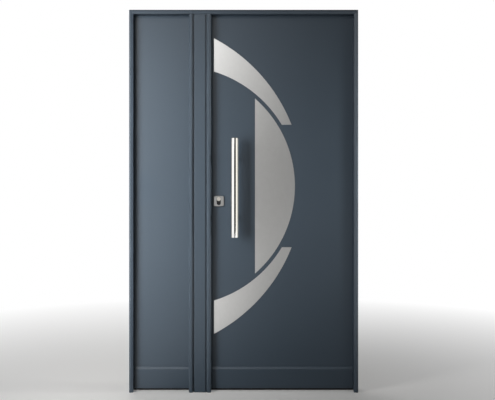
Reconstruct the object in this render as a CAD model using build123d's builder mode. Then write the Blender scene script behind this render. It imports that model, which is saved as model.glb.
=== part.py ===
from build123d import *
from math import sqrt
import os

# Security door with a wide lock leaf and a narrow side leaf, both opening inward, in millimetres.
# X runs to the right as seen from outside, Y runs inward and Z runs up.
# The origin is at floor level on the wall face of the hinge jamb, at half the frame depth.

# Frame
frame_width = 1200
frame_height = 2005
frame_depth = 100
lip_width = 21
lip_depth = 32
flange_thickness = 5
mullion_width = 116
ridge_width = 22
band_recess = 6
band_groove_width = 7
band_groove_depth = 5
mullion_step = 20
side_bay = 292
lip_crest = 8
outer_fall = 3
inner_fall = 5
ridge_bevel = 6

# Leaves
leaf_gap = 5
seal_space = 10
skin_thickness = 1.5
floor_gap = 12
swing_gap = 5

# Hinges
hinge_end_height = 260
knuckle_radius = 9
knuckle_length = 48
knuckle_standoff = 4
knuckle_joint = 0.6
pin_radius = 5
pin_length = 34
pin_clearance = 0.08
pin_end_space = 1.5
wing_inset = 1.5
wing_width = 34
wing_thickness = 4
web_thickness = 5

# Wall anchors through the jamb flanges
anchor_hole_radius = 5.25
anchor_end_height = 200
anchor_step_height = 500
anchor_depth = 16

# Seals
seal_width = 5
seal_inset = 5
seal_clearance = 0.8
bottom_seal_depth = 12
bottom_seal_floor = 3

# Kick plates
kick_top = 126
kick_thickness = 5
kick_bevel_height = 12
kick_bevel_depth = 4
kick_side_gap = 1
kick_bottom_gap = 2

# Stainless inlays, arcs about one height on the main leaf, placed from the mullion edge
inlay_thickness = 1.5
inlay_centre_share = 0.54
inlay_margin = 14
segment_radius = 614
segment_centre_back = 172
segment_margin = 231
inlay_gap = 20
crescent_width = 270
crescent_centre_back = 398
crescent_cut = 324

# Pull handle
bar_radius = 20
bar_length = 520
bar_standoff = 65
bar_margin = 124
bar_height = 1072
bar_end_bevel = 2
post_spacing = 310
post_radius = 9

# Lock, placed from the mullion edge
lock_margin = 39
plug_height = 1014
plug_radius = 8.5
cylinder_tail_width = 10
cylinder_height = 33
cylinder_clearance = 0.3
cylinder_proud = 2
plug_proud = 7
keyway_width = 1.8
keyway_height = 9
keyway_depth = 4
escutcheon_width = 53
escutcheon_height = 52
escutcheon_arch = 3
escutcheon_thickness = 9
escutcheon_corner = 7
escutcheon_bevel = 2.5
escutcheon_drop = 11
guard_width = 22
guard_height = 43
guard_clearance = 0.2
guard_thickness = 4

# Lock edge
forend_width = 22
forend_length = 260
forend_thickness = 3
forend_clearance = 0.2
bolt_radius = 8
bolt_clearance = 0.3
bolt_length = 24
lock_case_depth = 40
lock_case_width = 18
lock_case_margin = 12
bolt_drops = (94, 64, 34)
latch_width = 13
latch_length = 32
strike_width = 26
strike_length = 260
strike_thickness = 2
strike_pocket_depth = 26
strike_pocket_margin = 14
strike_play = 1.5

# Inside furniture
lever_rise = 84
rose_radius = 26
rose_thickness = 9
lever_radius = 9.5
lever_neck = 48
lever_length = 125
turn_width = 30
turn_thickness = 9
turn_depth = 20
turn_bevel = 2
slide_case_width = 34
slide_case_length = 110
slide_case_thickness = 18
slide_case_bevel = 3
slide_edge = 26
slide_end = 60
slide_rod_radius = 5
slide_rod_length = 190
slide_rod_clearance = 0.3
slide_knob_radius = 4
slide_knob_length = 14

# Derived positions
front = -frame_depth / 2
rear = frame_depth / 2
lip_back = front + lip_depth
leaf_front = lip_back + seal_space
leaf_rear = rear
leaf_middle = (leaf_front + leaf_rear) / 2
leaf_top = frame_height - flange_thickness - leaf_gap
mullion_left = -frame_width + lip_width + side_bay
mullion_right = mullion_left + mullion_width
main_rebate = mullion_right - mullion_step
side_rebate = mullion_left + mullion_step
axis_depth = leaf_rear + knuckle_standoff + knuckle_radius
main_axis = -knuckle_radius
side_axis = -frame_width + knuckle_radius
main_hinge_edge = -flange_thickness - leaf_gap
side_hinge_edge = -frame_width + flange_thickness + leaf_gap
lip_underside = frame_height - lip_width
flange_underside = frame_height - flange_thickness
escutcheon_centre = plug_height - escutcheon_drop
bar_depth = leaf_front - bar_standoff

hinge_heights = (hinge_end_height, frame_height / 2, frame_height - hinge_end_height)
anchor_low = (anchor_end_height, anchor_end_height + anchor_step_height)
anchor_heights = [*anchor_low, *(frame_height - height for height in anchor_low)]
inlay_centre_height = inlay_centre_share * frame_height
bar_x = mullion_right + bar_margin
lock_x = mullion_right + lock_margin
inlay_left = mullion_right + inlay_margin
segment_left = mullion_right + segment_margin
segment_x = mullion_right - segment_centre_back
crescent_x = mullion_right - crescent_centre_back
crescent_radius = segment_radius + crescent_width
lever_height = plug_height + lever_rise
bolt_heights = [plug_height - drop for drop in bolt_drops]

outer_face = Plane.XZ.offset(-leaf_front)
inner_face = Plane.XZ.offset(-leaf_rear)


def lock_edge(axis, direction, rebate, depth):
    """Lock edge of a leaf at one depth, set back so that its swing clears the mullion."""
    reach = abs(rebate - axis) - swing_gap
    return axis + direction * sqrt(reach**2 - (axis_depth - depth) ** 2)


main_lock_front = lock_edge(main_axis, -1, main_rebate, leaf_front)
main_lock_rear = lock_edge(main_axis, -1, main_rebate, leaf_rear)
side_lock_front = lock_edge(side_axis, 1, side_rebate, leaf_front)
side_lock_rear = lock_edge(side_axis, 1, side_rebate, leaf_rear)


def frame_points(wall, inward):
    """Stepped frame section: front lip that falls away on both sides of its crest, rebate and flange."""
    lip = wall + inward * lip_width
    flange = wall + inward * flange_thickness
    return [
        (wall, front + outer_fall),
        (wall + inward * lip_crest, front),
        (lip, front + inner_fall),
        (lip, lip_back),
        (flange, lip_back),
        (flange, rear),
        (wall, rear),
    ]


def leaf_points(hinge_edge, lock_front, lock_rear, low, high, inset):
    """Plan of a leaf between two depths, drawn in by a sheet thickness on both edges."""
    turn = 1 if lock_front < hinge_edge else -1
    slope = (lock_rear - lock_front) / (leaf_rear - leaf_front)
    return [
        (hinge_edge - turn * inset, low),
        (lock_front + slope * (low - leaf_front) + turn * inset, low),
        (lock_front + slope * (high - leaf_front) + turn * inset, high),
        (hinge_edge - turn * inset, high),
    ]


main_edges = (main_hinge_edge, main_lock_front, main_lock_rear)
side_edges = (side_hinge_edge, side_lock_front, side_lock_rear)


def closed_outline(points):
    """Filled face inside a closed run of straight lines."""
    Polygon(*points, align=None)


def upright(near, far, low, high):
    """Plain rectangle between two places across the door and two depths or heights."""
    closed_outline([(near, low), (far, low), (far, high), (near, high)])


def anchor_holes(wall):
    """Row of holes along X through a jamb's rear flange."""
    for height in anchor_heights:
        with Locations(Location((wall, anchor_depth, height), (0, 90, 0))):
            Cylinder(anchor_hole_radius, 4 * lip_width, mode=Mode.SUBTRACT)


def cylinder_outline(grow):
    """Profile-cylinder shape: a round head with a narrower tail below it."""
    tail_bottom = plug_height + plug_radius - cylinder_height
    tail_radius = cylinder_tail_width / 2
    with Locations((lock_x, plug_height)):
        Circle(plug_radius + grow)
    with Locations((lock_x, tail_bottom + tail_radius)):
        Circle(tail_radius + grow)
    with Locations((lock_x, (plug_height + tail_bottom + tail_radius) / 2)):
        Rectangle(cylinder_tail_width + 2 * grow, plug_height - tail_bottom - tail_radius)


def leaf_plane(depth):
    """Plane facing outside at one depth, with X across and Z up."""
    return Plane.XZ.offset(-depth)


def cylinder_section(depth, grow):
    """Section of the lock cylinder at one depth of the leaf."""
    with BuildSketch(leaf_plane(depth)) as section:
        cylinder_outline(grow)
    return section.sketch


edge_run = sqrt((main_lock_rear - main_lock_front) ** 2 + (leaf_rear - leaf_front) ** 2)
edge_x = (main_lock_rear - main_lock_front) / edge_run
edge_y = (leaf_rear - leaf_front) / edge_run
bolt_run = (bolt_heights[0] + lever_height) / 2
lock_edge_plane = Plane(
    origin=((main_lock_front + main_lock_rear) / 2, leaf_middle, 0),
    x_dir=(-edge_x, -edge_y, 0),
    z_dir=(-edge_y, edge_x, 0),
)
strike_plane = Plane(origin=(main_rebate, leaf_middle, 0), x_dir=(0, 1, 0), z_dir=(1, 0, 0))


def bolt_row(plane, play):
    """Round bolts and the latch, one above the other."""
    with BuildSketch(plane) as row:
        for height in bolt_heights:
            with Locations((0, height)):
                Circle(bolt_radius + play)
        with Locations((0, lever_height)):
            Rectangle(latch_width + 2 * play, latch_length + 2 * play)
    return row.sketch


def edge_plate(plane, length, width):
    """Plate outline about the middle of the bolts."""
    with BuildSketch(plane) as plate:
        with Locations((0, bolt_run)):
            Rectangle(width, length)
    return plate.sketch


def lock_case_section():
    """Mortise for the lock case, behind the edge plate."""
    with BuildSketch(lock_edge_plane) as mortise:
        with Locations((0, bolt_run)):
            Rectangle(lock_case_width, forend_length - 2 * lock_case_margin)
    return mortise.sketch


def cut_lock():
    """Cylinder hole, edge-plate seat and lock mortise in a sheet or the core of the main leaf."""
    extrude(
        cylinder_section(leaf_rear, cylinder_clearance),
        amount=leaf_rear - leaf_front,
        mode=Mode.SUBTRACT,
    )
    seat_length = forend_length + 2 * forend_clearance
    seat_width = forend_width + 2 * forend_clearance
    extrude(
        edge_plate(lock_edge_plane, seat_length, seat_width),
        amount=-forend_thickness,
        mode=Mode.SUBTRACT,
    )
    extrude(lock_case_section(), amount=-lock_case_depth, mode=Mode.SUBTRACT)


os.makedirs("parts", exist_ok=True)

# Frame members: one rolled section, mitred where the jambs meet the head
right_mitre = Plane(origin=(0, 0, frame_height), z_dir=(-1, 0, 1))
left_mitre = Plane(origin=(-frame_width, 0, frame_height), z_dir=(1, 0, 1))

with BuildPart() as hinge_jamb:
    with BuildSketch():
        closed_outline(frame_points(0, -1))
    extrude(amount=frame_height)
    split(bisect_by=right_mitre, keep=Keep.BOTTOM)
    anchor_holes(0)

with BuildPart() as side_jamb:
    with BuildSketch():
        closed_outline(frame_points(-frame_width, 1))
    extrude(amount=frame_height)
    split(bisect_by=left_mitre, keep=Keep.BOTTOM)
    anchor_holes(-frame_width)

with BuildPart() as head:
    with BuildSketch(Plane.YZ.offset(-frame_width)):
        closed_outline([(depth, height) for height, depth in frame_points(frame_height, -1)])
    extrude(amount=frame_width)
    split(bisect_by=right_mitre, keep=Keep.TOP)
    split(bisect_by=left_mitre, keep=Keep.TOP)

# Mullion: two ridges with a grooved, recessed band between them, stops behind the ridges, a rear post
with BuildPart() as mullion:
    left_ridge_side = mullion_left + ridge_width
    right_ridge_side = mullion_right - ridge_width
    band_front = front + band_recess
    groove_floor = band_front + band_groove_depth
    with BuildSketch() as ridge_section:
        closed_outline(
            [
                (mullion_left, front),
                (left_ridge_side, front),
                (left_ridge_side, groove_floor),
                (left_ridge_side + band_groove_width, groove_floor),
                (left_ridge_side + band_groove_width, band_front),
                (right_ridge_side - band_groove_width, band_front),
                (right_ridge_side - band_groove_width, groove_floor),
                (right_ridge_side, groove_floor),
                (right_ridge_side, front),
                (mullion_right, front),
                (mullion_right, lip_back),
                (mullion_left, lip_back),
            ]
        )
        chamfer(ridge_section.vertices().group_by(Axis.Y)[0], ridge_bevel)
    extrude(amount=lip_underside)
    with BuildSketch():
        upright(side_rebate, main_rebate, lip_back, rear)
    extrude(amount=flange_underside)
    extrude(
        edge_plate(strike_plane, strike_length, strike_width),
        amount=-strike_thickness,
        mode=Mode.SUBTRACT,
    )
    with BuildSketch(strike_plane):
        with Locations((0, bolt_run)):
            Rectangle(2 * (bolt_radius + strike_play), strike_length - 2 * strike_pocket_margin)
    extrude(amount=-strike_pocket_depth, mode=Mode.SUBTRACT)

# Strike plate let into the mullion, with a hole for each bolt
with BuildPart() as strike_plate:
    extrude(
        edge_plate(
            strike_plane,
            strike_length - 2 * forend_clearance,
            strike_width - 2 * forend_clearance,
        ),
        amount=-strike_thickness,
    )
    extrude(bolt_row(strike_plane, strike_play), amount=-strike_thickness, mode=Mode.SUBTRACT)


def frame_seal(low, high):
    """Rubber strip up one stop, across the head and down the other stop, behind the lip's edge."""
    seal_foot = lip_underside + seal_inset
    seal_top = seal_foot + seal_width
    with BuildPart() as seal:
        with BuildSketch(leaf_plane(lip_back)):
            closed_outline(
                [
                    (low, 0),
                    (low + seal_width, 0),
                    (low + seal_width, seal_foot),
                    (high - seal_width, seal_foot),
                    (high - seal_width, 0),
                    (high, 0),
                    (high, seal_top),
                    (low, seal_top),
                ]
            )
        extrude(amount=seal_clearance - seal_space)
    return seal


seal_reach = seal_inset + seal_width
main_frame_seal = frame_seal(mullion_right - seal_reach, -lip_width + seal_reach)
side_frame_seal = frame_seal(-frame_width + lip_width - seal_reach, mullion_left + seal_reach)

# Leaves: two pressed sheets folded round a filled core
core_front = leaf_front + skin_thickness
core_rear = leaf_rear - skin_thickness
core_foot = floor_gap + skin_thickness
core_height = leaf_top - floor_gap - 2 * skin_thickness


def core_section(edges):
    """Plan of the core that fills a leaf between its sheets."""
    with BuildSketch(Plane.XY.offset(core_foot)) as section:
        closed_outline(leaf_points(*edges, core_front, core_rear, skin_thickness))
    return section.sketch


def leaf_section(edges, low, high):
    """Plan of a leaf between two depths, edges included."""
    with BuildSketch(Plane.XY.offset(floor_gap)) as section:
        closed_outline(leaf_points(*edges, low, high, 0))
    return section.sketch


with BuildPart() as main_outer_skin:
    extrude(leaf_section(main_edges, leaf_front, leaf_middle), amount=leaf_top - floor_gap)
    extrude(core_section(main_edges), amount=core_height, mode=Mode.SUBTRACT)
    cut_lock()

with BuildPart() as main_inner_skin:
    extrude(leaf_section(main_edges, leaf_middle, leaf_rear), amount=leaf_top - floor_gap)
    extrude(core_section(main_edges), amount=core_height, mode=Mode.SUBTRACT)
    cut_lock()

with BuildPart() as main_leaf_core:
    extrude(core_section(main_edges), amount=core_height)
    cut_lock()

with BuildPart() as side_outer_skin:
    extrude(leaf_section(side_edges, leaf_front, leaf_middle), amount=leaf_top - floor_gap)
    extrude(core_section(side_edges), amount=core_height, mode=Mode.SUBTRACT)

with BuildPart() as side_inner_skin:
    extrude(leaf_section(side_edges, leaf_middle, leaf_rear), amount=leaf_top - floor_gap)
    extrude(core_section(side_edges), amount=core_height, mode=Mode.SUBTRACT)

with BuildPart() as side_leaf_core:
    extrude(core_section(side_edges), amount=core_height)


def bottom_seal(low, high):
    """Rubber sweep along the bottom edge of a leaf."""
    with BuildPart() as sweep_strip:
        with BuildSketch(Plane.XY.offset(bottom_seal_floor)):
            upright(low, high, core_front, core_front + bottom_seal_depth)
        extrude(amount=floor_gap - bottom_seal_floor)
    return sweep_strip


main_bottom_seal = bottom_seal(main_lock_front + leaf_gap, main_hinge_edge - leaf_gap)
side_bottom_seal = bottom_seal(side_hinge_edge + leaf_gap, side_lock_front - leaf_gap)


def kick_sheet(low, high):
    """Pressed plate across the foot of a leaf, sloped along its top."""
    face = leaf_front - kick_thickness
    foot = floor_gap + kick_bottom_gap
    with BuildPart() as sheet:
        with BuildSketch(Plane.YZ.offset(low)):
            closed_outline(
                [
                    (leaf_front, foot),
                    (face, foot),
                    (face, kick_top - kick_bevel_height),
                    (face + kick_bevel_depth, kick_top),
                    (leaf_front, kick_top),
                ]
            )
        extrude(amount=high - low)
    return sheet


main_kick_plate = kick_sheet(mullion_right + kick_side_gap, -lip_width - kick_side_gap)
side_kick_plate = kick_sheet(-frame_width + lip_width + kick_side_gap, mullion_left - kick_side_gap)


# Inlays: two crescents that run out to the lock edge and a round-backed segment between them
def crescent(turn):
    """Crescent above (turn 1) or below (turn -1) the inlay centre height."""
    reach = crescent_radius
    window_height = inlay_centre_height + turn * (crescent_cut + reach / 2)
    with BuildPart() as sheet:
        with BuildSketch(outer_face):
            with Locations((crescent_x, inlay_centre_height)):
                Circle(crescent_radius)
            with Locations((segment_x, inlay_centre_height)):
                Circle(segment_radius + inlay_gap, mode=Mode.SUBTRACT)
            with Locations((inlay_left + reach / 2, window_height)):
                Rectangle(reach, reach, mode=Mode.INTERSECT)
        extrude(amount=inlay_thickness)
    return sheet


upper_inlay = crescent(1)
lower_inlay = crescent(-1)

with BuildPart() as centre_inlay:
    with BuildSketch(outer_face):
        with Locations((segment_x, inlay_centre_height)):
            Circle(segment_radius)
        with Locations((segment_left + segment_radius / 2, inlay_centre_height)):
            Rectangle(segment_radius, 2 * segment_radius, mode=Mode.INTERSECT)
    extrude(amount=inlay_thickness)

# Pull handle: round bar on two posts that are coped to it
with BuildPart() as pull_bar:
    with Locations((bar_x, bar_depth, bar_height)):
        Cylinder(bar_radius, bar_length)
    chamfer(pull_bar.edges().filter_by(GeomType.CIRCLE), bar_end_bevel)

with BuildPart() as pull_posts:
    for turn in (1, -1):
        post_height = bar_height + turn * post_spacing / 2
        with BuildSketch(outer_face):
            with Locations((bar_x, post_height)):
                Circle(post_radius)
        extrude(amount=bar_standoff)
    with Locations((bar_x, bar_depth, bar_height)):
        Cylinder(bar_radius, bar_length, mode=Mode.SUBTRACT)

# Lock: arched escutcheon, black guard round the plug, and the cylinder through the leaf
with BuildPart() as lock_escutcheon:
    with BuildSketch(outer_face) as escutcheon_outline:
        plate_left = lock_x - escutcheon_width / 2
        plate_right = lock_x + escutcheon_width / 2
        plate_low = escutcheon_centre - escutcheon_height / 2
        plate_high = escutcheon_centre + escutcheon_height / 2
        crown = (lock_x, plate_high + escutcheon_arch)
        foot = (lock_x, plate_low - escutcheon_arch)
        with BuildLine():
            Line((plate_left, plate_low), (plate_left, plate_high))
            ThreePointArc((plate_left, plate_high), crown, (plate_right, plate_high))
            Line((plate_right, plate_high), (plate_right, plate_low))
            ThreePointArc((plate_right, plate_low), foot, (plate_left, plate_low))
        make_face()
        fillet(escutcheon_outline.vertices(), escutcheon_corner)
    extrude(amount=escutcheon_thickness)
    chamfer(lock_escutcheon.faces().sort_by(Axis.Y)[0].edges(), escutcheon_bevel)
    with BuildSketch(outer_face):
        with Locations((lock_x, escutcheon_centre)):
            SlotOverall(guard_height, guard_width, rotation=90)
    extrude(amount=escutcheon_thickness, mode=Mode.SUBTRACT)

with BuildPart() as cylinder_guard:
    with BuildSketch(leaf_plane(leaf_front - cylinder_proud - guard_clearance)):
        with Locations((lock_x, escutcheon_centre)):
            SlotOverall(guard_height - 2 * guard_clearance, guard_width - 2 * guard_clearance, rotation=90)
        with Locations((lock_x, plug_height)):
            Circle(plug_radius + guard_clearance, mode=Mode.SUBTRACT)
    extrude(amount=guard_thickness)

with BuildPart() as lock_cylinder:
    extrude(
        cylinder_section(leaf_rear + rose_thickness, 0),
        amount=leaf_rear - leaf_front + rose_thickness + cylinder_proud,
    )
    with BuildSketch(outer_face):
        with Locations((lock_x, plug_height)):
            Circle(plug_radius)
    extrude(amount=plug_proud)
    with BuildSketch(leaf_plane(leaf_front - plug_proud)):
        with Locations((lock_x, plug_height)):
            Rectangle(keyway_width, keyway_height)
    extrude(amount=-keyway_depth, mode=Mode.SUBTRACT)

# Edge plate with the bolts and the latch drawn back flush with it
with BuildPart() as lock_forend:
    extrude(edge_plate(lock_edge_plane, forend_length, forend_width), amount=-forend_thickness)
    extrude(bolt_row(lock_edge_plane, bolt_clearance), amount=-forend_thickness, mode=Mode.SUBTRACT)

with BuildPart() as lock_bolts:
    extrude(bolt_row(lock_edge_plane, 0), amount=-bolt_length)

# Inside furniture: lever, roses and thumb turn
with BuildPart() as lever_rose:
    with BuildSketch(inner_face):
        with Locations((lock_x, lever_height)):
            Circle(rose_radius)
    extrude(amount=-rose_thickness)

with BuildPart() as inner_lever:
    neck_start = leaf_rear + rose_thickness
    grip_depth = neck_start + lever_neck
    with BuildLine() as lever_path:
        Polyline(
            (lock_x, neck_start, lever_height),
            (lock_x, grip_depth, lever_height),
            (lock_x + lever_length, grip_depth, lever_height),
        )
    with BuildSketch(leaf_plane(neck_start)):
        with Locations((lock_x, lever_height)):
            Circle(lever_radius)
    sweep(path=lever_path.line, transition=Transition.RIGHT)

with BuildPart() as cylinder_rose:
    with BuildSketch(inner_face):
        with Locations((lock_x, plug_height - plug_radius)):
            Circle(rose_radius)
    extrude(amount=-rose_thickness)
    extrude(
        cylinder_section(leaf_rear, cylinder_clearance),
        amount=-rose_thickness,
        mode=Mode.SUBTRACT,
    )

with BuildPart() as thumb_turn:
    with BuildSketch(leaf_plane(leaf_rear + rose_thickness)):
        with Locations((lock_x, plug_height)):
            SlotOverall(turn_width, turn_thickness, rotation=90)
    extrude(amount=-turn_depth)
    chamfer(thumb_turn.faces().sort_by(Axis.Y)[-1].edges(), turn_bevel)


# Barrel hinges: pin and lower barrel on the frame, upper barrel and wing on the leaf
def hinge_frame_halves(axis, wall, inward):
    """Lower barrels with their pins, on tabs standing on the jamb's rear flange."""
    flange = wall + inward * flange_thickness
    with BuildPart() as halves:
        for height in hinge_heights:
            with BuildSketch(Plane.XY.offset(height - knuckle_length)):
                with Locations((axis, axis_depth)):
                    Circle(knuckle_radius)
                upright(wall, flange, rear, axis_depth)
            extrude(amount=knuckle_length)
            with BuildSketch(Plane.XY.offset(height)):
                with Locations((axis, axis_depth)):
                    Circle(pin_radius)
            extrude(amount=pin_length)
    return halves


def hinge_leaf_halves(axis, edge, inward):
    """Upper barrels with blind bores, on wings that lie on the leaf's inner sheet."""
    web_near = axis + inward * (knuckle_radius - web_thickness)
    web_far = axis + inward * knuckle_radius
    wing_near = edge + inward * wing_inset
    wing_far = wing_near + inward * wing_width
    wing_face = rear + wing_thickness
    with BuildPart() as halves:
        for height in hinge_heights:
            with BuildSketch(Plane.XY.offset(height + knuckle_joint)):
                with Locations((axis, axis_depth)):
                    Circle(knuckle_radius)
                upright(web_near, web_far, rear, axis_depth)
                upright(wing_near, wing_far, rear, wing_face)
            extrude(amount=knuckle_length)
            with BuildSketch(Plane.XY.offset(height + knuckle_joint)):
                with Locations((axis, axis_depth)):
                    Circle(pin_radius + pin_clearance)
            extrude(amount=pin_length + pin_end_space, mode=Mode.SUBTRACT)
    return halves


main_hinge_pins = hinge_frame_halves(main_axis, 0, -1)
main_hinge_wings = hinge_leaf_halves(main_axis, main_hinge_edge, -1)
side_hinge_pins = hinge_frame_halves(side_axis, -frame_width, 1)
side_hinge_wings = hinge_leaf_halves(side_axis, side_hinge_edge, 1)

# Slide bolts on the inside of the narrow leaf, drawn back
slide_x = side_lock_rear - slide_edge
slide_depth = leaf_rear + slide_case_thickness / 2
slide_places = ((leaf_top - slide_end, 1), (floor_gap + slide_end, -1))

with BuildPart() as slide_cases:
    for end, turn in slide_places:
        with Locations((slide_x, slide_depth, end - turn * slide_case_length / 2)):
            Box(slide_case_width, slide_case_thickness, slide_case_length)
    chamfer(slide_cases.edges().filter_by(Axis.Z).group_by(Axis.Y)[-1], slide_case_bevel)
    for end, turn in slide_places:
        with Locations((slide_x, slide_depth, end - turn * slide_case_length / 2)):
            Cylinder(slide_rod_radius + slide_rod_clearance, 2 * slide_case_length, mode=Mode.SUBTRACT)

with BuildPart() as slide_rods:
    for end, turn in slide_places:
        rod_centre = end + turn * slide_end / 2 - turn * slide_rod_length / 2
        knob_height = rod_centre - turn * (slide_rod_length / 2 - 2 * slide_knob_radius)
        with Locations((slide_x, slide_depth, rod_centre)):
            Cylinder(slide_rod_radius, slide_rod_length)
        with BuildSketch(leaf_plane(slide_depth)):
            with Locations((slide_x, knob_height)):
                Circle(slide_knob_radius)
        extrude(amount=-slide_rod_radius - slide_knob_length)

pieces = {
    "hinge_jamb": hinge_jamb,
    "side_jamb": side_jamb,
    "head": head,
    "mullion": mullion,
    "strike_plate": strike_plate,
    "main_frame_seal": main_frame_seal,
    "side_frame_seal": side_frame_seal,
    "main_outer_skin": main_outer_skin,
    "main_inner_skin": main_inner_skin,
    "main_leaf_core": main_leaf_core,
    "main_bottom_seal": main_bottom_seal,
    "main_kick_plate": main_kick_plate,
    "upper_inlay": upper_inlay,
    "centre_inlay": centre_inlay,
    "lower_inlay": lower_inlay,
    "pull_bar": pull_bar,
    "pull_posts": pull_posts,
    "lock_escutcheon": lock_escutcheon,
    "cylinder_guard": cylinder_guard,
    "lock_cylinder": lock_cylinder,
    "lock_forend": lock_forend,
    "lock_bolts": lock_bolts,
    "lever_rose": lever_rose,
    "inner_lever": inner_lever,
    "cylinder_rose": cylinder_rose,
    "thumb_turn": thumb_turn,
    "main_hinge_pins": main_hinge_pins,
    "main_hinge_wings": main_hinge_wings,
    "side_outer_skin": side_outer_skin,
    "side_inner_skin": side_inner_skin,
    "side_leaf_core": side_leaf_core,
    "side_bottom_seal": side_bottom_seal,
    "side_kick_plate": side_kick_plate,
    "side_hinge_pins": side_hinge_pins,
    "side_hinge_wings": side_hinge_wings,
    "slide_cases": slide_cases,
    "slide_rods": slide_rods,
}
for name, piece in pieces.items():
    piece.part.label = name
    export_step(piece.part, f"parts/{name}.step")
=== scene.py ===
import math

import bpy
from mathutils import Matrix, Vector


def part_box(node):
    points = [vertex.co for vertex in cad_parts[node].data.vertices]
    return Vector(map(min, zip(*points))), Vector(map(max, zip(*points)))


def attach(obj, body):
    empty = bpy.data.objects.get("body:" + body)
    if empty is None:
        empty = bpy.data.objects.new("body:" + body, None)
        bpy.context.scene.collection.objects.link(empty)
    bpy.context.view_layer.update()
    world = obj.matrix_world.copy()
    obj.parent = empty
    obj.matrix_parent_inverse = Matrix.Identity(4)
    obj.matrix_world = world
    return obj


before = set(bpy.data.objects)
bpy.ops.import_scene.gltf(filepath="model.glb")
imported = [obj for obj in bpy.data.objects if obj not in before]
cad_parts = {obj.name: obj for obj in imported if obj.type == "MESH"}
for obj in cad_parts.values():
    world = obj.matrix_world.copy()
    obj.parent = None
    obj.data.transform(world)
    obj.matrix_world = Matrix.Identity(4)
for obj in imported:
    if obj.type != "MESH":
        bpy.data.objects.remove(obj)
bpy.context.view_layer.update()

# Frame: two jambs and a head of rolled steel section, mitred and welded at the corners, and a
# mullion with two ridges. All are powder coated after welding, so a satin coat with a fine orange
# peel runs over the bevels and thins a little along the sharp edges.


def node(tree, kind, inputs=(), **settings):
    """Shader node with its settings; an input is a number, a colour or another node's output."""
    made = tree.nodes.new("ShaderNode" + kind)
    for name, value in settings.items():
        setattr(made, name, value)
    for name, value in dict(inputs).items():
        if isinstance(value, bpy.types.NodeSocket):
            tree.links.new(value, made.inputs[name])
        else:
            made.inputs[name].default_value = value
    return made


def shader_group(name, inputs, outputs):
    """Empty node group with number inputs and named outputs, with its entry and its outlet."""
    group = bpy.data.node_groups.new(name, "ShaderNodeTree")
    for socket, value in inputs.items():
        made = group.interface.new_socket(socket, in_out="INPUT", socket_type="NodeSocketFloat")
        made.default_value = value
    for socket, kind in outputs.items():
        group.interface.new_socket(socket, in_out="OUTPUT", socket_type="NodeSocket" + kind)
    entry = group.nodes.new("NodeGroupInput").outputs
    outlet = group.nodes.new("NodeGroupOutput").inputs
    return group, entry, outlet


def effect(tree, group, **values):
    """Places an effect group in a material with its own values and returns its outputs."""
    placed = node(tree, "Group", node_tree=group)
    for socket, value in values.items():
        placed.inputs[socket].default_value = value
    return placed.outputs


def surface_place(tree):
    """Position on the piece itself, in metres, which moves with the piece."""
    return node(tree, "TexCoord").outputs["Object"]


def noise(tree, place, scale, detail=2.0, roughness=0.5):
    """Noise from 0 to 1, with scale features to the metre."""
    made = node(
        tree,
        "TexNoise",
        {"Vector": place, "Scale": scale, "Detail": detail, "Roughness": roughness},
    )
    return made.outputs["Fac"]


def arithmetic(tree, operation, first, second):
    """One sum of two numbers or sockets."""
    return node(tree, "Math", {0: first, 1: second}, operation=operation).outputs[0]


def spread(tree, value, low, high, to_low, to_high):
    """Value from low to high, stretched to another range and held at its ends."""
    made = node(
        tree,
        "MapRange",
        {"Value": value, "From Min": low, "From Max": high, "To Min": to_low, "To Max": to_high},
    )
    return made.outputs["Result"]


def blend_colours(tree, share, first, second):
    """Colour between two, by a share from 0 to 1."""
    made = node(tree, "Mix", {0: share, 6: first, 7: second}, data_type="RGBA")
    return made.outputs[2]


powder_coat, given, result = shader_group(
    "powder_coat", {"Peel": 420.0, "Sand": 2400.0}, {"Height": "Float", "Mottle": "Float"}
)
place = surface_place(powder_coat)
peel = noise(powder_coat, place, given["Peel"])
sand = noise(powder_coat, place, given["Sand"], detail=1.0)
sand_weight = 0.35
sand_share = arithmetic(powder_coat, "MULTIPLY", sand, sand_weight)
mottle_scale = 3.5
mottle = noise(powder_coat, place, mottle_scale, detail=4.0, roughness=0.6)
powder_coat.links.new(arithmetic(powder_coat, "ADD", peel, sand_share), result["Height"])
powder_coat.links.new(mottle, result["Mottle"])

soft_edges, given, result = shader_group(
    "soft_edges", {"Radius": 0.001, "Wear": 0.3}, {"Normal": "Vector", "Wear": "Float"}
)
rounded = node(soft_edges, "Bevel", {"Radius": given["Radius"]}, samples=6).outputs["Normal"]
facing = node(soft_edges, "NewGeometry").outputs["Normal"]
likeness = node(soft_edges, "VectorMath", {0: rounded, 1: facing}, operation="DOT_PRODUCT")
flat_likeness, edge_likeness = 0.99, 0.8
edge = spread(soft_edges, likeness.outputs["Value"], flat_likeness, edge_likeness, 0.0, 1.0)
rub_scale = 45.0
rub = noise(soft_edges, surface_place(soft_edges), rub_scale, detail=5.0)
rubbed = spread(soft_edges, rub, 0.4, 0.7, 0.0, 1.0)
rubbed_edge = arithmetic(soft_edges, "MULTIPLY", edge, rubbed)
worn = arithmetic(soft_edges, "MULTIPLY", rubbed_edge, given["Wear"])
soft_edges.links.new(rounded, result["Normal"])
soft_edges.links.new(worn, result["Wear"])


def new_finish(name):
    """Empty material with its Principled shader."""
    material = bpy.data.materials.new(name)
    material.use_nodes = True
    return material, material.node_tree, material.node_tree.nodes["Principled BSDF"]


def dress(material, *names):
    """Gives CAD nodes a material in place of the plain one they came with."""
    for name in names:
        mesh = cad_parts[name].data
        mesh.materials.clear()
        mesh.materials.append(material)


anthracite = (0.0435, 0.0612, 0.0815, 1.0)
anthracite_pale = (0.0475, 0.0662, 0.0875, 1.0)
thin_coat = (0.12, 0.15, 0.18, 1.0)
coat_wear = 0.1
wave_scale = 2.2
coat_roughness_low, coat_roughness_high = 0.36, 0.4


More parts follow.
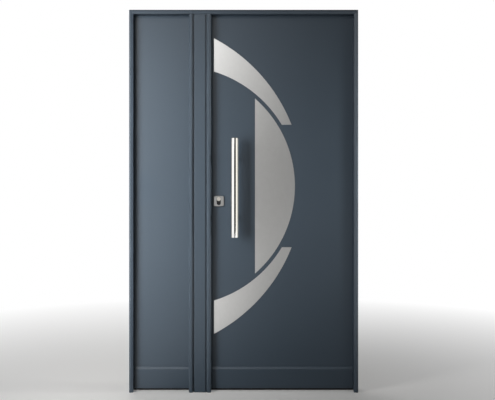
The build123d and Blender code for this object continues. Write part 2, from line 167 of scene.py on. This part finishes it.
def anthracite_coat(name, edge_round, peel_depth, sheet_wave):
    """Powder coat on steel, on a section that is stiff or on a sheet that waves a little."""
    material, tree, shader = new_finish(name)
    coat = effect(tree, powder_coat)
    edges = effect(tree, soft_edges, Radius=edge_round, Wear=coat_wear)
    wave = noise(tree, surface_place(tree), wave_scale, detail=1.0)
    dent = node(
        tree,
        "Bump",
        {"Strength": 1.0, "Distance": sheet_wave, "Height": wave, "Normal": edges["Normal"]},
    )
    grain = node(
        tree,
        "Bump",
        {
            "Strength": 0.4,
            "Distance": peel_depth,
            "Height": coat["Height"],
            "Normal": dent.outputs["Normal"],
        },
    )
    colour = blend_colours(tree, coat["Mottle"], anthracite, anthracite_pale)
    colour = blend_colours(tree, edges["Wear"], colour, thin_coat)
    dullness = spread(tree, coat["Mottle"], 0.3, 0.7, coat_roughness_low, coat_roughness_high)
    tree.links.new(colour, shader.inputs["Base Color"])
    tree.links.new(dullness, shader.inputs["Roughness"])
    tree.links.new(grain.outputs["Normal"], shader.inputs["Normal"])
    return material


section_coat = anthracite_coat(
    "section_coat", edge_round=0.003, peel_depth=0.00005, sheet_wave=0.00004
)
dress(section_coat, "hinge_jamb", "side_jamb", "head", "mullion")

# Anchor caps: moulded black caps pressed into the anchor holes of both jambs once the frame is
# bolted to the wall. Each has a thin domed brim with a step, and the closed leaf hides them.


def turned_copies(name, rings, places, sides=32, hollow=False):
    """Like turned pieces in one mesh, solid or hollow like a washer. Rings are (radius, height)
    along each place's axis, and a radius may be a function of the angle; a place is (centre, axis,
    turn in degrees)."""
    points, faces = [], []
    for centre, axis, turn in places:
        spin = Matrix.Rotation(math.radians(turn), 3, "Z")
        stand = Vector(axis).to_track_quat("Z", "Y").to_matrix() @ spin
        first = len(points)
        for radius, height in rings:
            for side in range(sides):
                angle = 2 * math.pi * side / sides
                reach = radius(angle) if callable(radius) else radius
                local = Vector((reach * math.cos(angle), reach * math.sin(angle), height))
                points.append(Vector(centre) + stand @ local)
        for ring in range(len(rings) if hollow else len(rings) - 1):
            low, high = first + ring * sides, first + (ring + 1) % len(rings) * sides
            for side in range(sides):
                after = (side + 1) % sides
                faces.append((low + side, low + after, high + after, high + side))
        if not hollow:
            last = first + (len(rings) - 1) * sides
            faces.append(tuple(first + side for side in reversed(range(sides))))
            faces.append(tuple(last + side for side in range(sides)))
    mesh = bpy.data.meshes.new(name)
    mesh.from_pydata(points, [], faces)
    mesh.shade_smooth()
    sharp_from_degrees = 35
    mesh.set_sharp_from_angle(angle=math.radians(sharp_from_degrees))
    piece = bpy.data.objects.new(name, mesh)
    bpy.context.scene.collection.objects.link(piece)
    return piece


def add_piece(piece, material, body):
    """Gives a new piece its material and its body."""
    piece.data.materials.append(material)
    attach(piece, body)


def moulded_black(name, grain_size, roughness, colour):
    """Matt black moulding with a fine grain, for plastic and rubber."""
    cloud_scale = 40.0
    cloud_gain = 1.6
    grain_dulling = 0.06
    material, tree, shader = new_finish(name)
    shader.inputs["Specular IOR Level"].default_value = 0.25
    place = surface_place(tree)
    grain = noise(tree, place, grain_size, detail=3.0)
    bump = node(tree, "Bump", {"Strength": 0.5, "Distance": 0.00008, "Height": grain})
    cloud = noise(tree, place, cloud_scale, detail=3.0)
    pale = tuple(cloud_gain * part for part in colour[:3]) + (1.0,)
    dullness = spread(
        tree, grain, 0.3, 0.7, roughness - grain_dulling, roughness + grain_dulling
    )
    tree.links.new(blend_colours(tree, cloud, colour, pale), shader.inputs["Base Color"])
    tree.links.new(dullness, shader.inputs["Roughness"])
    tree.links.new(bump.outputs["Normal"], shader.inputs["Normal"])
    return material


# Black moulding for the anchor caps and the cylinder guard; on the guard its black is partly
# painted shade.
black_plastic = moulded_black(
    "black_plastic", grain_size=1400.0, roughness=0.6, colour=(0.011, 0.011, 0.012, 1.0)
)
anchor_heights = (0.2, 0.7, 1.305, 1.805)
anchor_depth = 0.016
flange_thickness = 0.005
frame_width = 1.2
hinge_jamb_flange = -flange_thickness
side_jamb_flange = flange_thickness - frame_width
stem_radius = 0.0048
brim_radius = 0.008
cap_rings = [
    (stem_radius, -0.003),
    (stem_radius, 0.0),
    (brim_radius, 0.0),
    (brim_radius, 0.0006),
    (0.0072, 0.0012),
    (0.003, 0.0016),
]
anchor_caps = turned_copies(
    "anchor_caps",
    cap_rings,
    [
        ((flange, anchor_depth, height), (facing, 0, 0), 0)
        for flange, facing in ((hinge_jamb_flange, -1), (side_jamb_flange, 1))
        for height in anchor_heights
    ],
)
add_piece(anchor_caps, black_plastic, "frame")

# Frame and leaf seals: extruded black rubber, pressed into the stops of the frame and along the
# foot of each leaf, with the dull bloom that soft rubber has.
black_rubber = moulded_black(
    "black_rubber", grain_size=900.0, roughness=0.72, colour=(0.012, 0.012, 0.012, 1.0)
)
dress(black_rubber, "main_frame_seal", "side_frame_seal", "main_bottom_seal", "side_bottom_seal")

# Strike plate: stainless strip let into the mullion, punched for the latch and the bolts and held
# by two countersunk screws. It is satin ground along its length.
brushed_grain, given, result = shader_group(
    "brushed_grain",
    {"Across": 1500.0, "Along": 25.0, "Upright": 1.0},
    {"Streak": "Float", "Cloud": "Float"},
)
place = surface_place(brushed_grain)
lying = arithmetic(brushed_grain, "SUBTRACT", 1.0, given["Upright"])
level = arithmetic(
    brushed_grain,
    "ADD",
    arithmetic(brushed_grain, "MULTIPLY", given["Across"], given["Upright"]),
    arithmetic(brushed_grain, "MULTIPLY", given["Along"], lying),
)
height = arithmetic(
    brushed_grain,
    "ADD",
    arithmetic(brushed_grain, "MULTIPLY", given["Along"], given["Upright"]),
    arithmetic(brushed_grain, "MULTIPLY", given["Across"], lying),
)
pull = node(brushed_grain, "CombineXYZ", {"X": level, "Y": given["Across"], "Z": height}).outputs[0]
drawn = node(brushed_grain, "VectorMath", {0: place, 1: pull}, operation="MULTIPLY").outputs[0]
streak = noise(brushed_grain, drawn, 1.0, detail=4.0, roughness=0.65)
steel_cloud_scale = 55.0
cloud = noise(brushed_grain, place, steel_cloud_scale, detail=5.0, roughness=0.6)
brushed_grain.links.new(streak, result["Streak"])
brushed_grain.links.new(cloud, result["Cloud"])


def satin_steel(name, across, along, upright, roughness, colour):
    """Ground stainless steel, with streaks along the grain and a faint cloud across it."""
    dull_share = 0.95
    worn_gain = 1.2
    streak_dulling = 0.01
    material, tree, shader = new_finish(name)
    grain = effect(tree, brushed_grain, Across=across, Along=along, Upright=upright)
    edges = effect(tree, soft_edges, Radius=0.0005, Wear=0.4)
    bump = node(
        tree,
        "Bump",
        {
            "Strength": 0.1,
            "Distance": 0.00002,
            "Height": grain["Streak"],
            "Normal": edges["Normal"],
        },
    )
    dull = tuple(dull_share * part for part in colour[:3]) + (1.0,)
    bright = tuple(min(1.0, worn_gain * part) for part in colour[:3]) + (1.0,)
    mixed = arithmetic(tree, "ADD", grain["Streak"], grain["Cloud"])
    tone = blend_colours(tree, spread(tree, mixed, 0.7, 1.3, 0.0, 1.0), dull, colour)
    tree.links.new(blend_colours(tree, edges["Wear"], tone, bright), shader.inputs["Base Color"])
    dullness = spread(
        tree, grain["Streak"], 0.3, 0.7, roughness - streak_dulling, roughness + streak_dulling
    )
    tree.links.new(dullness, shader.inputs["Roughness"])
    tree.links.new(bump.outputs["Normal"], shader.inputs["Normal"])
    shader.inputs["Metallic"].default_value = 1.0
    return material


plate_steel = satin_steel(
    "plate_steel",
    across=1800.0,
    along=30.0,
    upright=1.0,
    roughness=0.34,
    colour=(0.56, 0.55, 0.53, 1.0),
)
dress(plate_steel, "strike_plate")


def cross_recess(arm, half_width):
    """Radius of a screw's cross recess at each angle."""

    def reach(angle):
        folded = abs((angle + math.pi / 4) % (math.pi / 2) - math.pi / 4)
        corner = math.atan2(half_width, arm)
        return arm / math.cos(folded) if folded <= corner else half_width / math.sin(folded)

    return reach


def countersunk_screws(name, head_radius, places):
    """Flat screw heads with a cross recess, let into what they hold."""
    cross = cross_recess(0.62 * head_radius, 0.16 * head_radius)
    rings = [
        (0.45 * head_radius, -0.5 * head_radius),
        (0.96 * head_radius, -0.04 * head_radius),
        (head_radius, 0.03 * head_radius),
        (0.93 * head_radius, 0.1 * head_radius),
        (cross, 0.12 * head_radius),
        (cross, -0.35 * head_radius),
        (0.06 * head_radius, -0.45 * head_radius),
    ]
    return turned_copies(name, rings, places, sides=48)


def plated_steel(name, roughness, colour, tint):
    """Plated steel or brass, with a cloudy plating that is duller in patches."""
    cloud_scale, fine_scale = 130.0, 1900.0
    worn_gain = 1.25
    clear_gloss, patch_dulling = 0.05, 0.07
    material, tree, shader = new_finish(name)
    place = surface_place(tree)
    cloud = noise(tree, place, cloud_scale, detail=5.0, roughness=0.65)
    fine = noise(tree, place, fine_scale, detail=2.0)
    edges = effect(tree, soft_edges, Radius=0.0004, Wear=0.5)
    bump = node(
        tree,
        "Bump",
        {"Strength": 0.3, "Distance": 0.00002, "Height": fine, "Normal": edges["Normal"]},
    )
    tone = blend_colours(tree, spread(tree, cloud, 0.35, 0.65, 0.0, 1.0), colour, tint)
    bright = tuple(min(1.0, worn_gain * part) for part in colour[:3]) + (1.0,)
    dullness = spread(
        tree, cloud, 0.35, 0.65, roughness - clear_gloss, roughness + patch_dulling
    )
    tree.links.new(blend_colours(tree, edges["Wear"], tone, bright), shader.inputs["Base Color"])
    tree.links.new(dullness, shader.inputs["Roughness"])
    tree.links.new(bump.outputs["Normal"], shader.inputs["Normal"])
    shader.inputs["Metallic"].default_value = 1.0
    return material


zinc_steel = plated_steel(
    "zinc_steel", roughness=0.38, colour=(0.5, 0.51, 0.53, 1.0), tint=(0.43, 0.44, 0.44, 1.0)
)
strike_low, strike_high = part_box("strike_plate")
plate_middle = (strike_low + strike_high) / 2
screw_inset = 0.011
strike_screw_radius = 0.0045
strike_screws = countersunk_screws(
    "strike_screws",
    strike_screw_radius,
    [
        ((strike_high.x, plate_middle.y, strike_low.z + screw_inset), (1, 0, 0), 20),
        ((strike_high.x, plate_middle.y, strike_high.z - screw_inset), (1, 0, 0), 65),
    ],
)
add_piece(strike_screws, zinc_steel, "frame")

# Hinges: three lift-off barrel hinges to a leaf, of turned zinc-plated steel. The pin half is
# welded to the jamb, and the wing half is screwed to the leaf's inner sheet by four screws.
dress(zinc_steel, "main_hinge_pins", "main_hinge_wings", "side_hinge_pins", "side_hinge_wings")
hinge_heights = (0.26, 1.0025, 1.745)
barrel_length = 0.048
wing_face = 0.054
wing_columns = (0.014, 0.027)
wing_row_inset = 0.012
wing_rows = (wing_row_inset, barrel_length - wing_row_inset)
wing_screw_radius = 0.0036
main_wing_start = -0.0115
side_wing_start = -1.1885


def wing_screws(name, wing_start, inward):
    """Four screws in each hinge wing of one leaf, each stopped at a turn of its own."""
    places = []
    for index, foot in enumerate(hinge_heights):
        for column, across in enumerate(wing_columns):
            for row, up in enumerate(wing_rows):
                turn = 31 * index + 47 * column + 73 * row
                spot = (wing_start + inward * across, wing_face, foot + up)
                places.append((spot, (0, 1, 0), turn))
    return countersunk_screws(name, wing_screw_radius, places)


main_wing_screws = wing_screws("main_wing_screws", main_wing_start, -1)
side_wing_screws = wing_screws("side_wing_screws", side_wing_start, 1)
add_piece(main_wing_screws, zinc_steel, "main_leaf")
add_piece(side_wing_screws, zinc_steel, "side_leaf")

# Leaf cores: rigid foam poured between the sheets of each leaf, a yellowish mass of fine closed
# cells. The sheets close it in, so it would show only with the lock taken out.
core_foam, tree, shader = new_finish("core_foam")
cells_to_metre = 900.0
foam_deep = (0.46, 0.4, 0.25, 1.0)
foam_pale = (0.6, 0.55, 0.4, 1.0)
foam = node(tree, "TexVoronoi", {"Vector": surface_place(tree), "Scale": cells_to_metre})
cells = foam.outputs["Distance"]
bump = node(tree, "Bump", {"Strength": 0.6, "Distance": 0.0004, "Height": cells})
tree.links.new(blend_colours(tree, cells, foam_deep, foam_pale), shader.inputs["Base Color"])
tree.links.new(bump.outputs["Normal"], shader.inputs["Normal"])
shader.inputs["Roughness"].default_value = 0.9
dress(core_foam, "main_leaf_core", "side_leaf_core")

# Leaf sheets and kick plates: steel sheet folded round the core and powder coated with the frame.
# A large sheet is never quite flat, so it has a slow wave that shows only in its sheen.
sheet_coat = anthracite_coat(
    "sheet_coat", edge_round=0.0012, peel_depth=0.00005, sheet_wave=0.0004
)
dress(
    sheet_coat,
    "main_outer_skin",
    "main_inner_skin",
    "side_outer_skin",
    "side_inner_skin",
    "main_kick_plate",
    "side_kick_plate",
)

# Inlays: two crescents and a segment cut from satin stainless sheet, bonded to the main leaf. The
# grain runs upright, with a fine speckle where the light catches it.
inlay_steel = satin_steel(
    "inlay_steel",
    across=900.0,
    along=60.0,
    upright=1.0,
    roughness=0.29,
    colour=(0.66, 0.655, 0.642, 1.0),
)
dress(inlay_steel, "upper_inlay", "centre_inlay", "lower_inlay")

# Pull handle: polished stainless tube with closed ends on two turned posts, which are screwed to
# the main leaf from inside. Hands leave a faint film on the polish.
handle_steel, tree, shader = new_finish("handle_steel")
clear_polish = (0.66, 0.655, 0.64, 1.0)
filmed_polish = (0.61, 0.605, 0.59, 1.0)
film_scale = 38.0
polish_scale = 260.0
place = surface_place(tree)
film = noise(tree, place, film_scale, detail=5.0, roughness=0.65)
polish = noise(tree, place, polish_scale, detail=3.0)
edges = effect(tree, soft_edges, Radius=0.0006, Wear=0.2)
bump = node(
    tree,
    "Bump",
    {"Strength": 0.05, "Distance": 0.00001, "Height": polish, "Normal": edges["Normal"]},
)
tree.links.new(
    blend_colours(tree, film, clear_polish, filmed_polish), shader.inputs["Base Color"]
)
tree.links.new(spread(tree, film, 0.35, 0.7, 0.05, 0.09), shader.inputs["Roughness"])
tree.links.new(bump.outputs["Normal"], shader.inputs["Normal"])
shader.inputs["Metallic"].default_value = 1.0
dress(handle_steel, "pull_bar", "pull_posts")

# Lock from outside: an arched stainless escutcheon over a black guard, with the nickel-plated key
# cylinder standing through it inside a turned collar. The guard's black is partly its own colour
# and partly painted shade for the recess round the cylinder's tail. Bolts through the leaf hold it
# from inside.
escutcheon_steel = satin_steel(
    "escutcheon_steel",
    across=2200.0,
    along=90.0,
    upright=0.0,
    roughness=0.42,
    colour=(0.4, 0.396, 0.39, 1.0),
)
dress(escutcheon_steel, "lock_escutcheon")
# The guard's black also stands in for the shadow down in the recess round the cylinder: painted
# shade.
dress(black_plastic, "cylinder_guard")
nickel = plated_steel(
    "nickel", roughness=0.31, colour=(0.72, 0.69, 0.63, 1.0), tint=(0.66, 0.63, 0.56, 1.0)
)
dress(nickel, "lock_cylinder")
guard_low, guard_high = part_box("cylinder_guard")
plug_height = 1.014
plug_radius = 0.0085
collar_bore = plug_radius + 0.0001
collar_radius = 0.0104
guard_middle = (guard_low.x + guard_high.x) / 2
collar_rings = [
    (collar_bore, -0.001),
    (collar_radius, -0.001),
    (collar_radius, 0.0012),
    (0.0099, 0.0019),
    (0.0092, 0.002),
    (collar_bore, 0.0015),
]
key_collar = turned_copies(
    "key_collar",
    collar_rings,
    [((guard_middle, guard_low.y, plug_height), (0, -1, 0), 0)],
    sides=48,
    hollow=True,
)
add_piece(key_collar, nickel, "main_leaf")

# Lock edge: stainless edge plate let into the leaf, held by two countersunk screws, with round
# nickel-plated bolts and the latch drawn back flush with it.
dress(plate_steel, "lock_forend")
dress(nickel, "lock_bolts")
forend_low, forend_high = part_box("lock_forend")
lock_edge_front = Vector((-0.7827, -0.008, 0.0))
lock_edge_rear = Vector((-0.78589, 0.05, 0.0))
edge_run = (lock_edge_rear - lock_edge_front).normalized()
edge_out = Vector((-edge_run.y, edge_run.x, 0.0))
edge_middle = (lock_edge_front + lock_edge_rear) / 2
forend_screw_radius = 0.0042
forend_screws = countersunk_screws(
    "forend_screws",
    forend_screw_radius,
    [
        (edge_middle + Vector((0, 0, forend_low.z + screw_inset)), edge_out, 35),
        (edge_middle + Vector((0, 0, forend_high.z - screw_inset)), edge_out, 80),
    ],
)
add_piece(forend_screws, zinc_steel, "main_leaf")

# Inside furniture: stainless lever on a round rose, and a thumb turn on a second rose round the
# cylinder. Roses clip over hidden screws; the lever is held by a grub screw from below.
furniture_colour = (0.6, 0.59, 0.57, 1.0)
lever_steel = satin_steel(
    "lever_steel",
    across=1600.0,
    along=50.0,
    upright=0.0,
    roughness=0.28,
    colour=furniture_colour,
)
rose_steel = satin_steel(
    "rose_steel",
    across=1600.0,
    along=50.0,
    upright=1.0,
    roughness=0.3,
    colour=furniture_colour,
)
dress(lever_steel, "inner_lever")
dress(rose_steel, "lever_rose", "cylinder_rose", "thumb_turn")

# Slide bolts: two zinc-plated cases, each held by four screws to the inside of the narrow leaf near
# its lock edge, with a round nickel-plated rod and a short knob.
dress(zinc_steel, "slide_cases")
dress(nickel, "slide_rods")
cases_low, cases_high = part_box("slide_cases")
case_middle = (cases_low.x + cases_high.x) / 2
case_length = 0.11
screw_spread = 0.011
case_screw_radius = 0.0034
case_screws = countersunk_screws(
    "case_screws",
    case_screw_radius,
    [
        (
            (case_middle + across * screw_spread, cases_high.y, end),
            (0, 1, 0),
            40 * across + 700 * end,
        )
        for across in (-1, 1)
        for foot in (cases_low.z, cases_high.z - case_length)
        for end in (foot + screw_inset, foot + case_length - screw_inset)
    ],
)
add_piece(case_screws, zinc_steel, "side_leaf")

# Stage: plain pale floor that goes over to white away from the door. It throws little light back at
# the paint; for metal and sheen it glows, bright to both sides and dark in front of the door.
floor_mesh = bpy.data.meshes.new("floor")
floor_reach = 14.0
floor_mesh.from_pydata(
    [(x * floor_reach, y * floor_reach, 0.0) for x, y in ((-1, -1), (1, -1), (1, 1), (-1, 1))],
    [],
    [(0, 1, 2, 3)],
)
floor = bpy.data.objects.new("floor", floor_mesh)
bpy.context.scene.collection.objects.link(floor)
floor_paint, tree, shader = new_finish("floor_paint")
floor_grey = (0.2, 0.2, 0.2, 1.0)
floor_pale = (0.78, 0.77, 0.75, 1.0)
plain_white = (1.0, 1.0, 1.0, 1.0)
door_foot = (-0.6, 0.0, 0.0)
white_starts, white_full = 0.7, 3.4
place = surface_place(tree)
ray = node(tree, "LightPath").outputs
tree.links.new(
    blend_colours(tree, ray["Is Camera Ray"], floor_grey, floor_pale), shader.inputs["Base Color"]
)
shader.inputs["Roughness"].default_value = 0.7
white = node(tree, "Emission", {"Color": plain_white, "Strength": 1.0})
from_door = node(tree, "VectorMath", {0: place, 1: door_foot}, operation="DISTANCE")
away = spread(tree, from_door.outputs["Value"], white_starts, white_full, 0.12, 1.0)
seen_white = arithmetic(tree, "MULTIPLY", away, ray["Is Camera Ray"])
far_floor = node(
    tree, "MixShader", {0: seen_white, 1: shader.outputs["BSDF"], 2: white.outputs["Emission"]}
)
slant_depth, slant_shift = -2.2, -0.66
left_dim_from, left_bright_from = -0.95, -1.5
left_dim, left_bright = 0.15, 1.35
right_dim_to, right_bright_from = 0.5, 1.2
right_bright = 1.6
floor_place = node(tree, "SeparateXYZ", {0: place}).outputs
slant_offset = spread(tree, floor_place["Y"], slant_depth, 0.0, slant_shift, 0.0)
slanting = arithmetic(tree, "ADD", floor_place["X"], slant_offset)
left_glow = spread(tree, slanting, left_dim_from, left_bright_from, left_dim, left_bright)
right_glow = spread(tree, floor_place["X"], right_dim_to, right_bright_from, 0.0, right_bright)
side_glow = arithmetic(tree, "ADD", left_glow, right_glow)
sheen = node(tree, "Emission", {"Color": plain_white, "Strength": side_glow})
floor_surface = node(
    tree,
    "MixShader",
    {0: ray["Is Glossy Ray"], 1: far_floor.outputs[0], 2: sheen.outputs[0]},
)
tree.links.new(floor_surface.outputs["Shader"], tree.nodes["Material Output"].inputs["Surface"])
floor_mesh.materials.append(floor_paint)

# Light: a tall soft lamp beside the narrow leaf, weaker ones in front and to the right, a large one
# behind the door and a faint even fill. No lamp shows in the metal, which mirrors surroundings that
# are bright to both sides and dim straight ahead.


def soft_lamp(name, place, aim, width, height, power, colour, beam):
    """Rectangular soft lamp that points at a place on the door, with its beam in degrees."""
    data = bpy.data.lights.new(name, "AREA")
    data.shape = "RECTANGLE"
    data.size, data.size_y = width, height
    data.energy = power
    data.color = colour
    data.spread = math.radians(beam)
    lamp = bpy.data.objects.new(name, data)
    bpy.context.scene.collection.objects.link(lamp)
    lamp.location = place
    lamp.visible_glossy = False
    lamp.rotation_euler = (Vector(aim) - lamp.location).to_track_quat("-Z", "Y").to_euler()


daylight = (1.0, 1.0, 1.0)
warm_light = (1.0, 0.98, 0.95)
soft_lamp(
    "left_lamp",
    place=(-1.9, -1.05, 1.2),
    aim=(-1.25, 0.0, 1.08),
    width=0.8,
    height=1.8,
    power=17.2,
    colour=daylight,
    beam=90,
)
soft_lamp(
    "front_lamp",
    place=(-1.6, -2.4, 1.1),
    aim=(-0.9, 0.0, 1.1),
    width=0.8,
    height=1.4,
    power=0.5,
    colour=daylight,
    beam=120,
)
soft_lamp(
    "right_lamp",
    place=(4.0, -0.17, 1.15),
    aim=(-0.5, -0.05, 1.15),
    width=0.2,
    height=0.9,
    power=9.0,
    colour=warm_light,
    beam=36,
)
soft_lamp(
    "jamb_lamp",
    place=(0.7, -0.5, 1.15),
    aim=(-0.2, 0.0, 1.1),
    width=0.3,
    height=0.6,
    power=2.4,
    colour=warm_light,
    beam=120,
)
soft_lamp(
    "rear_lamp",
    place=(-1.9, 3.0, 2.3),
    aim=(-0.6, 0.05, 1.0),
    width=3.8,
    height=3.8,
    power=46.0,
    colour=daylight,
    beam=140,
)

world = bpy.data.worlds.new("surroundings")
bpy.context.scene.world = world
world.use_nodes = True
tree = world.node_tree
for old in list(tree.nodes):
    tree.nodes.remove(old)
direction = node(tree, "SeparateXYZ", {0: node(tree, "TexCoord").outputs["Generated"]}).outputs
ahead = arithmetic(tree, "MULTIPLY", direction["Y"], -1.0)
bearing = arithmetic(tree, "ARCTAN2", direction["X"], ahead)
around = spread(tree, bearing, -math.pi, math.pi, 0.0, 1.0)


def brightness_round(bearings):
    """Colour round the horizon, from stops of (bearing in degrees, brightness, warmth)."""
    less_green, less_blue = 0.02, 0.1
    ramp = node(tree, "ValToRGB", {"Fac": around})
    stops = ramp.color_ramp.elements
    while len(stops) < len(bearings):
        stops.new(0.5)
    for stop, (degrees, level, warmth) in zip(stops, bearings):
        green, blue = level * (1 - less_green * warmth), level * (1 - less_blue * warmth)
        stop.position = (degrees + 180) / 360
        stop.color = (level, green, blue, 1.0)
    return ramp.outputs["Color"]


at_eye_height = brightness_round(
    (
        (-180, 0.9, 0),
        (-120, 0.9, 0),
        (-95, 1.5, 0),
        (-50, 1.6, 0),
        (-17, 1.6, 0),
        (-13, 0.05, 0),
        (38, 0.05, 0),
        (41, 1.6, 1),
        (60, 1.6, 1),
        (100, 1.4, 1),
        (130, 0.9, 0),
        (180, 0.9, 0),
    )
)
higher = brightness_round(
    (
        (-180, 0.7, 0),
        (-95, 0.8, 0),
        (-45, 1.2, 0),
        (-22, 3.2, 0),
        (-14, 4.4, 0),
        (-6, 4.4, 0),
        (-2, 0.06, 0),
        (28, 0.04, 0),
        (36, 1.4, 0),
        (60, 1.6, 0),
        (100, 1.4, 0),
        (180, 0.7, 0),
    )
)
overhead = (0.25, 0.25, 0.25, 1.0)
slant = node(tree, "Math", {0: direction["Z"]}, operation="ABSOLUTE").outputs[0]
eye_height_to, higher_from = 0.07, 0.22
higher_to, overhead_from = 0.36, 0.6
rising = spread(tree, slant, eye_height_to, higher_from, 0.0, 1.0)
steep = spread(tree, slant, higher_to, overhead_from, 0.0, 1.0)
sides = blend_colours(tree, rising, at_eye_height, higher)
glow = blend_colours(tree, steep, sides, overhead)
fill = node(tree, "Background", {"Color": (0.95, 0.97, 1.0, 1.0), "Strength": 0.05})
mirror = node(tree, "Background", {"Color": glow, "Strength": 1.0})
backdrop = node(tree, "Background", {"Color": plain_white, "Strength": 1.0})
path = node(tree, "LightPath").outputs
shine = arithmetic(tree, "MAXIMUM", path["Is Glossy Ray"], path["Is Transmission Ray"])
lit = node(tree, "MixShader", {0: shine, 1: fill.outputs[0], 2: mirror.outputs[0]})
shown = node(
    tree, "MixShader", {0: path["Is Camera Ray"], 1: lit.outputs[0], 2: backdrop.outputs[0]}
)
node(tree, "OutputWorld", {"Surface": shown.outputs[0]})

# Camera: level, straight in front of the door at about the height of the lock, with the whole
# frame in view as in the photograph.
camera_data = bpy.data.cameras.new("camera")
camera_data.sensor_width = 36.0
camera_data.lens = 48.64
camera = bpy.data.objects.new("camera", camera_data)
bpy.context.scene.collection.objects.link(camera)
camera.location = (-0.5799, -3.55, 1.0088)
camera.rotation_euler = (math.radians(90), 0.0, 0.0)
bpy.context.scene.camera = camera
bpy.context.scene.view_settings.view_transform = "Standard"
